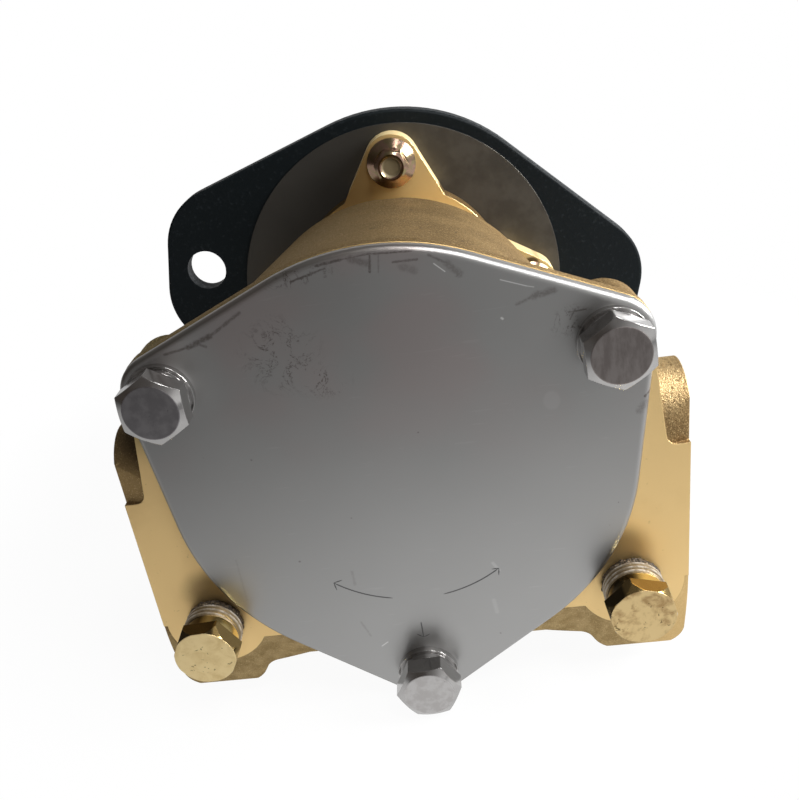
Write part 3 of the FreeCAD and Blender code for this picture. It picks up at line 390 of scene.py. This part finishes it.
def cover_paint():
    """Satin stainless sheet: soft grain, rubbed marks near the upper edge, a few scratches,
    painted shade on the left of the rounded edge.
    """
    p = Paint("cover_steel")
    cloud = p.noise(0.035, 3.0, 0.55)
    fine = p.noise(1.6, 3.0, 0.55, stretch=(1.0, 1.0, 0.06))
    scratch = p.band(p.noise(0.5, 2.0, 0.4, stretch=(0.25, 1.0, 2.6)), 0.70, 0.76)
    wobble = p.noise(1.1, 3.0, 0.65, distortion=0.5)
    dots = p.band(p.noise(0.55, 1.0, 0.4), 0.79, 0.82)
    warm = p.times(p.band(p.noise(0.03, 2.0, 0.5), 0.42, 0.58), p.band(p.z, -5.0, 30.0))
    colour = p.mix(cloud, (0.385, 0.382, 0.376), (0.43, 0.428, 0.422))
    colour = p.mix(warm, colour, (0.43, 0.392, 0.385))
    colour = p.mix(p.times(scratch, 0.10), colour, (0.62, 0.61, 0.60))
    colour = p.mix(p.times(dots, 0.5), colour, (0.16, 0.14, 0.14))
    dark = p.marks(DARK_MARKS, p.math("SUBTRACT", wobble, 0.4))
    rubbed = p.band(p.noise(1.7, 3.0, 0.7), 0.36, 0.56)
    dark = p.times(dark, p.blend(rubbed, 0.55, 1.0))
    thin = p.math("ABSOLUTE", p.math("SUBTRACT", p.noise(0.16, 5.0, 0.72, distortion=0.8), 0.5))
    reach = p.most(p.spot(-20.5, 33.5, 7.0, 7.0), p.spot(-15.0, 50.0, 8.0, 1.8))
    reach = p.most(reach, p.spot(-13.0, 26.5, 5.0, 3.0))
    reach = p.most(reach, p.spot(40.5, 33.0, 4.0, 3.0))
    veins = p.times(p.band(thin, 0.022, 0.006), p.times(reach, rubbed))
    dark = p.most(dark, p.times(veins, 0.75))
    colour = p.mix(dark, colour, (0.13, 0.110, 0.100))
    # Painted shade on the left part of the rounded edge, dimming its highlight
    rim = p.band(p.y, COVER_FRONT + 0.02, COVER_FRONT + 0.2)
    rim = p.times(rim, p.band(p.x, 30.0, -10.0))
    colour = p.mix(p.times(rim, 0.6), colour, (0.20, 0.19, 0.17))
    pressed = p.times(p.spot(35.1, 15.8, 1.8, 2.2, 0.2), 0.06)
    light = p.most(p.marks(LIGHT_MARKS, 0.0), pressed)
    colour = p.mix(light, colour, (0.95, 0.95, 0.94))
    normal = p.bump(fine, 0.012, 0.4, p.worn_edge(1.0))
    return p.finish(colour, 1.0, p.blend(cloud, 0.32, 0.38), normal)


def stainless_paint():
    """Forged and turned stainless, for bolts and washers, with dull dark faces on the heads."""
    p = Paint("stainless")
    cloud = p.noise(0.35, 4.0, 0.6)
    face = p.band(p.y, HEAD_FACE + 0.12, HEAD_FACE + 0.05)
    bright = p.mix(cloud, (0.40, 0.39, 0.385), (0.54, 0.53, 0.52))
    dull = p.mix(p.band(cloud, 0.4, 0.65), (0.28, 0.266, 0.275), (0.35, 0.333, 0.342))
    streak = p.band(p.noise(0.5, 4.0, 0.65, stretch=(1.0, 1.0, 0.3)), 0.35, 0.65)
    brown = p.mix(streak, (0.235, 0.207, 0.197), (0.33, 0.298, 0.286))
    dull = p.mix(p.band(p.x, 5.0, 25.0), dull, brown)
    light = p.mix(p.band(cloud, 0.4, 0.6), (0.45, 0.434, 0.425), (0.53, 0.517, 0.510))
    dull = p.mix(p.band(p.z, -20.0, -45.0), dull, light)
    pits = p.band(p.noise(1.3, 2.0, 0.6), 0.70, 0.76)
    dull = p.mix(p.times(pits, 0.6), dull, (0.10, 0.095, 0.10))
    roughness = p.blend(face, p.blend(cloud, 0.12, 0.22), p.blend(cloud, 0.24, 0.36))
    normal = p.bump(p.noise(0.9, 3.0, 0.6), 0.02, 0.4, p.worn_edge(0.3))
    return p.finish(p.mix(face, bright, dull), 1.0, roughness, normal)


def brass_paint():
    """Turned brass plugs: dull mottled faces with small pits, polished sides and necks, painted
    shade on some flats, and painted shade and light on the necks.
    """
    p = Paint("brass")
    face = p.band(p.y, PLUG_FACE + 0.15, PLUG_FACE + 0.05)
    mottle = p.noise(0.30, 5.0, 0.62, distortion=0.4)
    stained = p.mix(p.band(mottle, 0.45, 0.70), (0.70, 0.525, 0.262), (0.40, 0.260, 0.115))
    pale = p.mix(p.band(mottle, 0.40, 0.75), (0.90, 0.71, 0.375), (0.76, 0.57, 0.275))
    dull = p.mix(p.band(p.x, -5.0, 5.0), pale, stained)
    pits = p.band(p.noise(0.85, 2.0, 0.55, distortion=0.6), 0.66, 0.72)
    middle = p.band(p.math("ABSOLUTE", p.math("SUBTRACT", p.z, PLUG_Z)), 5.5, 3.5)
    pits = p.times(p.times(pits, middle), 0.8)
    dull = p.mix(pits, dull, (0.12, 0.08, 0.03))
    polished = p.mix(mottle, (0.34, 0.23, 0.085), (0.48, 0.34, 0.135))
    # Painted shade on a flat of each plug, standing for the dark reflection of the face behind
    left_flat = p.times(p.band(p.x, -47.9, -48.7), p.band(p.z, PLUG_Z + 1.0, PLUG_Z + 3.0))
    right_flat = p.times(p.band(p.x, 48.0, 47.2), p.band(p.x, 30.0, 40.0))
    shaded_flats = p.times(p.most(left_flat, right_flat), 0.85)
    polished = p.mix(shaded_flats, polished, (0.03, 0.022, 0.010))
    # Painted shade on the left of each neck and painted light on the right
    plug_middle = p.times(p.math("SIGN", p.x), PLUG_X)
    rightward = p.band(p.math("SUBTRACT", p.x, plug_middle), -1.5, 1.5)
    neck_shade_and_light = p.mix(rightward, (0.10, 0.07, 0.028), (1.0, 0.80, 0.36))
    neck = p.band(p.y, PLUG_NECK - 0.1, PLUG_NECK + 0.1)
    polished = p.mix(neck, polished, neck_shade_and_light)
    roughness = p.blend(face, 0.13, p.blend(mottle, 0.30, 0.44))
    normal = p.bump(p.noise(1.2, 2.0, 0.5), 0.015, 0.5, p.worn_edge(0.25))
    return p.finish(p.mix(face, polished, dull), 0.97, roughness, normal)


def thread_paint():
    """Plug threads: dark roots, with patches of pale sealant on the crests."""
    p = Paint("sealed_thread")
    dx = p.math("SUBTRACT", p.math("ABSOLUTE", p.x), PLUG_X)
    dz = p.math("SUBTRACT", p.z, PLUG_Z)
    crest = p.band(p.hypot(dx, dz), 6.9, 7.2)
    patches = p.band(p.noise(0.5, 3.0, 0.6, stretch=(1.0, 0.5, 1.0)), 0.40, 0.56)
    sealant = p.times(crest, p.blend(patches, 0.35, 1.0))
    root = p.mix(p.noise(0.9, 3.0), (0.10, 0.075, 0.045), (0.30, 0.22, 0.12))
    colour = p.mix(sealant, root, (0.38, 0.34, 0.285))
    normal = p.bump(p.noise(2.0, 3.0), 0.12, 0.8)
    roughness = p.blend(sealant, 0.45, 0.42)
    return p.finish(colour, p.blend(sealant, 0.7, 0.25), roughness, normal)


def crumb_paint():
    """Dark dried sealant squeezed out at the mouth of a drain hole, with bright flecks painted
    as glints.
    """
    p = Paint("dried_sealant")
    grain = p.noise(2.2, 3.0, 0.65)
    glint_flecks = p.band(p.noise(1.3, 3.0, 0.7, stretch=(1.0, 0.6, 1.0)), 0.66, 0.72)
    colour = p.mix(p.band(grain, 0.4, 0.65), (0.022, 0.017, 0.012), (0.12, 0.085, 0.05))
    colour = p.mix(glint_flecks, colour, (0.62, 0.52, 0.36))
    normal = p.bump(grain, 0.35, 1.0)
    return p.finish(colour, 0.0, p.blend(glint_flecks, 0.62, 0.3), normal)


def flange_paint():
    """Black satin plate with a faint cast skin, a grained rim and a dark turned pad in front."""
    p = Paint("black_flange")
    front = p.band(p.y, PAD_FRONT + 0.06, PAD_FRONT + 0.03)
    pad = p.times(front, p.band(p.hypot(p.x, p.z), PAD_R + 0.1, PAD_R))
    skin = p.noise(0.8, 4.0, 0.6)
    cloud = p.noise(0.05, 3.0, 0.5)
    black = p.mix(p.band(skin, 0.55, 0.75), (0.003, 0.005, 0.006), (0.010, 0.013, 0.015))
    rim = p.band(p.y, FLANGE_FRONT + 0.2, FLANGE_FRONT + 0.8)
    rim = p.times(rim, p.band(p.y, FLANGE_BACK - 0.2, FLANGE_BACK - 0.5))
    grained = p.times(rim, p.band(p.noise(0.9, 4.0, 0.7), 0.46, 0.60))
    black = p.mix(grained, black, (0.030, 0.033, 0.036))
    grey = p.mix(cloud, (0.040, 0.038, 0.034), (0.060, 0.055, 0.048))
    blotch = p.band(p.noise(0.12, 3.0, 0.6), 0.35, 0.65)
    blotch = p.mix(blotch, (0.056, 0.051, 0.043), (0.074, 0.068, 0.058))
    grey = p.mix(p.band(p.x, -5.0, 30.0), grey, blotch)
    colour = p.mix(pad, black, grey)
    roughness = p.blend(pad, p.blend(skin, 0.45, 0.60), 0.4)
    height = p.blend(pad, skin, p.times(p.noise(1.5, 1.0), 0.1))
    normal = p.bump(height, 0.12, 0.6, p.worn_edge(0.4))
    p.bsdf.inputs["IOR"].default_value = 1.3
    return p.finish(colour, p.blend(pad, 0.0, 0.55), roughness, normal, 0.3)


def plated_paint():
    """Yellow-passivated zinc on steel screws, with a dull dish in the top one."""
    p = Paint("yellow_zinc")
    hue = p.noise(0.5, 3.0, 0.5, distortion=0.4)
    gold = p.mix(p.band(hue, 0.35, 0.6), (0.29, 0.235, 0.125), (0.36, 0.23, 0.17))
    colour = p.mix(p.band(hue, 0.6, 0.75), gold, (0.29, 0.275, 0.19))
    dish_depth = p.band(p.y, LUG_FRONT - 8.9, LUG_FRONT - 8.5)
    dish = p.times(p.spot(*TOP_SCREW, DISH_R, DISH_R, 0.1), dish_depth)
    colour = p.mix(dish, colour, (0.17, 0.135, 0.075))
    roughness = p.blend(dish, p.blend(hue, 0.12, 0.24), 0.5)
    normal = p.bump(p.noise(1.2, 2.0), 0.02, 0.4, p.worn_edge(0.3))
    return p.finish(colour, p.blend(dish, 1.0, 0.35), roughness, normal)


def plain_metal(name, dark, light, rough_low, rough_high):
    """Turned metal of the inner pieces."""
    p = Paint(name)
    cloud = p.noise(0.5, 4.0, 0.55)
    turned = p.noise(1.0, 2.0, 0.5, stretch=(0.2, 3.0, 0.2))
    normal = p.bump(turned, 0.015, 0.5, p.worn_edge(0.2))
    roughness = p.blend(cloud, rough_low, rough_high)
    return p.finish(p.mix(cloud, dark, light), 1.0, roughness, normal)


def plain_matter(name, dark, light, rough_low, rough_high, grain_mm):
    """Rubber, paper, ceramic or carbon."""
    p = Paint(name)
    cloud = p.noise(0.8, 4.0, 0.6)
    normal = p.bump(p.noise(2.0, 3.0), grain_mm, 0.5)
    roughness = p.blend(cloud, rough_low, rough_high)
    return p.finish(p.mix(cloud, dark, light), 0.0, roughness, normal)


PLAIN_METALS = (
    # material slot, darker tone, lighter tone, least and most roughness
    ("bronze_machined", (0.52, 0.36, 0.16), (0.68, 0.48, 0.22), 0.25, 0.4),
    ("shaft_steel", (0.42, 0.42, 0.43), (0.58, 0.58, 0.59), 0.2, 0.34),
    ("bearing_steel", (0.6, 0.6, 0.61), (0.72, 0.72, 0.73), 0.08, 0.16),
    ("cage_steel", (0.42, 0.39, 0.34), (0.55, 0.52, 0.47), 0.3, 0.45),
    ("spring_steel", (0.06, 0.06, 0.065), (0.12, 0.12, 0.125), 0.35, 0.5),
)
PLAIN_MATTERS = (
    # the same, and the grain's depth in mm
    ("rubber", (0.014, 0.014, 0.015), (0.026, 0.026, 0.028), 0.5, 0.65, 0.04),
    ("gasket_paper", (0.02, 0.02, 0.02), (0.05, 0.048, 0.045), 0.7, 0.85, 0.04),
    ("ceramic", (0.78, 0.76, 0.71), (0.86, 0.84, 0.8), 0.15, 0.25, 0.005),
    ("carbon", (0.03, 0.03, 0.033), (0.055, 0.055, 0.06), 0.35, 0.5, 0.01),
)
PAINTS = {
    "bronze_casting": casting_paint(),
    "cover_steel": cover_paint(),
    "stainless": stainless_paint(),
    "brass": brass_paint(),
    "black_flange": flange_paint(),
    "yellow_zinc": plated_paint(),
}
PAINTS.update({row[0]: plain_metal(*row) for row in PLAIN_METALS})
PAINTS.update({row[0]: plain_matter(*row) for row in PLAIN_MATTERS})


def dress_nodes():
    """Gives every CAD node the paint of its material slot."""
    for entry in frame["record"]["subparts"]:
        mesh = NODES[entry["node"]].data
        mesh.materials.clear()
        mesh.materials.append(PAINTS[entry["material_slot"]])


def piece(name, points, faces, material, body):
    """Flat-shaded mesh object from points in mm, riding on a body."""
    mesh = bpy.data.meshes.new(name)
    mesh.from_pydata([Vector(p) * MM for p in points], [], faces)
    mesh.materials.append(material)
    mesh.update()
    thing = bpy.data.objects.new(name, mesh)
    bpy.context.scene.collection.objects.link(thing)
    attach(thing, body)


def helix_ridge(name, x, z, start_y, length, root_r, crest_r, taper, pitch, material):
    """V-shaped thread ridge round an axis along Y, running out to nothing at both ends."""
    steps_per_turn = 48
    fade_turns = 0.25
    profile = (("low", -0.45), ("high", -0.08), ("high", 0.08), ("low", 0.45))
    turns = length / pitch
    steps = int(turns * steps_per_turn)
    points = []
    faces = []
    for k in range(steps + 1):
        turn = k / steps_per_turn
        along = start_y + turn * pitch
        fade = min(1.0, turn / fade_turns, (turns - turn) / fade_turns)
        angle = 2 * math.pi * turn
        narrowed = turn * pitch * taper
        low = root_r - narrowed - THREAD_SUNK
        high = low + THREAD_SUNK + (crest_r - root_r) * max(fade, 0.0)
        radius = {"low": low, "high": high}
        for level, offset in profile:
            dx = radius[level] * math.cos(angle)
            dz = radius[level] * math.sin(angle)
            points.append((x + dx, along + offset * pitch, z + dz))
        if k:
            a = 4 * (k - 1)
            b = 4 * k
            for j in range(3):
                faces.append((a + j, a + j + 1, b + j + 1, b + j))
            faces.append((a + 3, a, b, b + 3))
    last = 4 * steps
    faces += [(3, 2, 1, 0), (last, last + 1, last + 2, last + 3)]
    piece(name, points, faces, material, "housing")


def crumb_ring(name, x, z, start_y, length, radius, height, material):
    """Lumpy ring of dried sealant round an axis along Y."""
    around = 96
    profile = ((0.0, -0.1), (0.12, 0.6), (0.4, 1.0), (0.75, 0.85), (1.0, 0.3))
    points = []
    for k in range(around):
        angle = 2 * math.pi * k / around
        for j, (along, rise) in enumerate(profile):
            lump = math.sin(5 * angle + 2.1 * j) + math.sin(13 * angle - 1.3 * j)
            lump += math.sin(29 * angle + j)
            r = radius + height * rise * (0.72 + 0.14 * lump)
            slide = 0.0
            if 0 < j < len(profile) - 1:
                slide = 0.22 * math.sin(9 * angle + j) + 0.18 * math.sin(17 * angle)
            y = start_y + length * along + slide
            points.append((x + r * math.cos(angle), y, z + r * math.sin(angle)))
    rows = len(profile)
    faces = []
    for k in range(around):
        a = rows * k
        b = rows * ((k + 1) % around)
        for j in range(rows - 1):
            faces.append((a + j, a + j + 1, b + j + 1, b + j))
        faces.append((a + rows - 1, a, b, b + rows - 1))
    piece(name, points, faces, material, "housing")


def make_threads():
    """Ridges on each plug from the end of its plain neck, and the sealant at the mouth."""
    ridges = thread_paint()
    crumbs = crumb_paint()
    for side, word in ((-1, "left"), (1, "right")):
        x = side * PLUG_X
        helix_ridge("plug_thread_" + word, x, PLUG_Z, THREAD_START, THREAD_LENGTH,
                    THREAD_ROOT_R, THREAD_CREST_R, PLUG_TAPER, THREAD_PITCH, ridges)
        crumb_ring("plug_sealant_" + word, x, PLUG_Z, SEALANT_START, SEALANT_LENGTH,
                   SEALANT_R, SEALANT_HEIGHT, crumbs)


def engraving_paint():
    p = Paint("engraved_line")
    return p.finish(p.mix(p.noise(0.8), (0.10, 0.10, 0.10), (0.2, 0.2, 0.2)), 1.0, 0.5)


def engraved_path(points):
    """Points and faces of a thin line on the cover's front, a little proud along its middle."""
    vertices = []
    faces = []
    for k, (x, z) in enumerate(points):
        before = points[max(k - 1, 0)]
        after = points[min(k + 1, len(points) - 1)]
        heading = math.atan2(after[1] - before[1], after[0] - before[0])
        nx = -math.sin(heading)
        nz = math.cos(heading)
        taper = 0.35 if k in (0, len(points) - 1) else 1.0
        for across in (-1.0, 0.0, 1.0):
            shift = across * LINE_HALF_WIDTH * taper
            y = COVER_FRONT - (LINE_MIDDLE_PROUD if across == 0.0 else LINE_EDGE_PROUD)
            vertices.append((x + nx * shift, y, z + nz * shift))
        if k:
            a = 3 * (k - 1)
            b = 3 * k
            faces += [(a, b, b + 1, a + 1), (a + 1, b + 1, b + 2, a + 2)]
    return vertices, faces


def arc_points(start, end, sag):
    """Points of an arc from start to end that bows by sag to its right."""
    count = 14
    sx, sz = start
    ex, ez = end
    length = math.hypot(ex - sx, ez - sz)
    ux, uz = (ex - sx) / length, (ez - sz) / length
    points = []
    for k in range(count):
        t = k / (count - 1)
        bow = sag * 4 * t * (1 - t)
        points.append((sx + ux * length * t + uz * bow, sz + uz * length * t - ux * bow))
    return points


def make_arrows():
    """Generic arrows engraved on the cover, two curved and one straight."""
    arrows = (
        ("arrow_left", (-5.9, -32.2), (-19.4, -26.0), -0.9, ((-17.3, -25.4), (-19.0, -28.2))),
        ("arrow_right", (6.5, -32.5), (20.3, -26.5), 0.9, ((18.6, -26.6), (20.1, -28.5))),
        ("arrow_down", (0.0, -40.3), (0.1, -45.1), 0.0, ((-1.5, -43.9), (1.7, -44.3))),
    )
    material = engraving_paint()
    for name, start, tip, sag, barbs in arrows:
        lines = [arc_points(start, tip, sag)]
        lines += [[tip, ((tip[0] + bx) / 2, (tip[1] + bz) / 2), (bx, bz)] for bx, bz in barbs]
        points = []
        faces = []
        for line in lines:
            new_points, new_faces = engraved_path(line)
            base = len(points)
            points += new_points
            faces += [tuple(base + i for i in face) for face in new_faces]
        piece(name, points, faces, material, "housing")


def place_camera():
    data = bpy.data.cameras.new("camera")
    data.sensor_fit = "HORIZONTAL"
    data.sensor_width = 36.0
    data.lens = FOCAL_PX / IMAGE_W * data.sensor_width
    data.shift_x = (IMAGE_W / 2 - CENTRE_PX[0]) / IMAGE_W
    data.shift_y = (CENTRE_PX[1] - IMAGE_H / 2) / IMAGE_W
    data.clip_start = 0.01
    data.clip_end = 50.0
    camera = bpy.data.objects.new("camera", data)
    right = Vector(CAMERA_RIGHT).normalized()
    back = right.cross(Vector(CAMERA_UP)).normalized()
    up = back.cross(right)
    turn = Matrix((right, up, back)).transposed().to_4x4()
    camera.matrix_world = Matrix.Translation(Vector(CAMERA_PLACE)) @ turn
    bpy.context.scene.collection.objects.link(camera)
    bpy.context.scene.camera = camera


def place_lamp(name, place, size, watts):
    data = bpy.data.lights.new(name, "AREA")
    data.energy = watts
    data.size = size
    lamp = bpy.data.objects.new(name, data)
    lamp.location = place
    heading = Vector(LAMP_AIM) - Vector(place)
    lamp.rotation_euler = heading.to_track_quat("-Z", "Y").to_euler()
    bpy.context.scene.collection.objects.link(lamp)


def make_world():
    """Studio that is dark in front and lit from the right and above, with a white background."""
    world = bpy.data.worlds.new("studio")
    bpy.context.scene.world = world
    world.use_nodes = True
    s = Tree(world.node_tree)
    x, y, z = s.split(s.node("ShaderNodeTexCoord").outputs["Generated"])
    level = s.math("ADD", s.band(z, 0.2, 1.0, 0.0, 0.10), s.band(x, 0.1, 0.9, 0.0, 0.5))
    level = s.math("ADD", level, s.band(y, -0.2, 0.9, 0.0, 0.12))
    front = s.times(s.band(x, -0.14, 0.06, 0.08, 0.55), s.band(y, -0.7, -0.2, 1.0, 0.0))
    front = s.times(front, s.band(z, -0.40, -0.15, 0.3, 1.0))
    front = s.times(front, s.band(z, 0.0, 0.35, 1.0, 0.2))
    level = s.math("ADD", level, front)
    tint = s.node("ShaderNodeValToRGB")
    tint.color_ramp.elements[0].color = WORLD_DARK
    s.put(tint.inputs[0], level)
    room = s.node("ShaderNodeBackground")
    s.put(room.inputs["Color"], tint.outputs[0])

    # Gloss sees the white background only behind the part, near the horizon
    white = s.node("ShaderNodeBackground")
    white.inputs["Color"].default_value = (1.0, 1.0, 1.0, 1.0)
    near_horizon = s.times(s.band(z, 0.10, 0.50, 1.0, 0.0), s.band(y, 0.3, 0.7, 0.0, 1.0))
    near_horizon = s.times(near_horizon, s.band(z, -0.15, -0.05, 0.0, 1.0))
    near_horizon = s.times(near_horizon, s.band(x, -0.5, 0.1, 0.35, 1.0))
    seen, shone = s.rays()
    share = s.most(seen, s.times(shone, near_horizon))
    out = s.node("ShaderNodeOutputWorld")
    s.put(out.inputs["Surface"], s.mix_shaders(share, room.outputs[0], white.outputs[0]))


def make_floor():
    """Sheet of pale paper. Gloss sees its whiteness fade in front, beyond the picture."""
    mesh = bpy.data.meshes.new("floor")
    corners = [(-FLOOR_SIDE, FLOOR_FRONT, FLOOR_Z), (FLOOR_SIDE, FLOOR_FRONT, FLOOR_Z),
               (FLOOR_SIDE, FLOOR_BACK, FLOOR_Z), (-FLOOR_SIDE, FLOOR_BACK, FLOOR_Z)]
    mesh.from_pydata(corners, [], [(0, 1, 2, 3)])
    floor = bpy.data.objects.new("floor", mesh)
    bpy.context.scene.collection.objects.link(floor)
    material = bpy.data.materials.new("floor")
    material.use_nodes = True
    s = Tree(material.node_tree)
    place = s.node("ShaderNodeNewGeometry").outputs["Position"]
    x, y = s.split(place)[:2]
    length = s.node("ShaderNodeVectorMath", operation="LENGTH")
    s.put(length.inputs[0], place)
    seen, shone = s.rays()

    # The camera sees white paper, with the part's own shadow close to it
    chalk = s.node("ShaderNodeBsdfDiffuse")
    chalk.inputs["Color"].default_value = (0.8, 0.8, 0.8, 1.0)
    white = s.node("ShaderNodeEmission")
    whiteness = s.times(seen, s.band(length.outputs["Value"], 0.15, 0.22, 0.95, 1.0))
    paper = s.mix_shaders(whiteness, chalk.outputs[0], white.outputs[0])

    glow = s.node("ShaderNodeEmission")
    strength = s.band(y, -0.39, -0.15, FLOOR_SHONE_FAR, FLOOR_SHONE_NEAR)
    strength = s.times(strength, s.band(x, -0.15, 0.08, 0.62, 1.08))
    s.put(glow.inputs["Strength"], strength)
    out = s.node("ShaderNodeOutputMaterial")
    s.put(out.inputs["Surface"], s.mix_shaders(shone, paper, glow.outputs[0]))
    mesh.materials.append(material)


dress_nodes()
make_threads()
make_arrows()
place_camera()
place_lamp("right_key", (0.66, -0.16, 0.36), 0.35, 13.0)
place_lamp("front_top", (0.30, -0.50, 0.75), 0.25, 4.0)
make_world()
make_floor()

bpy.context.scene.view_settings.view_transform = "Standard"
bpy.context.view_layer.update()
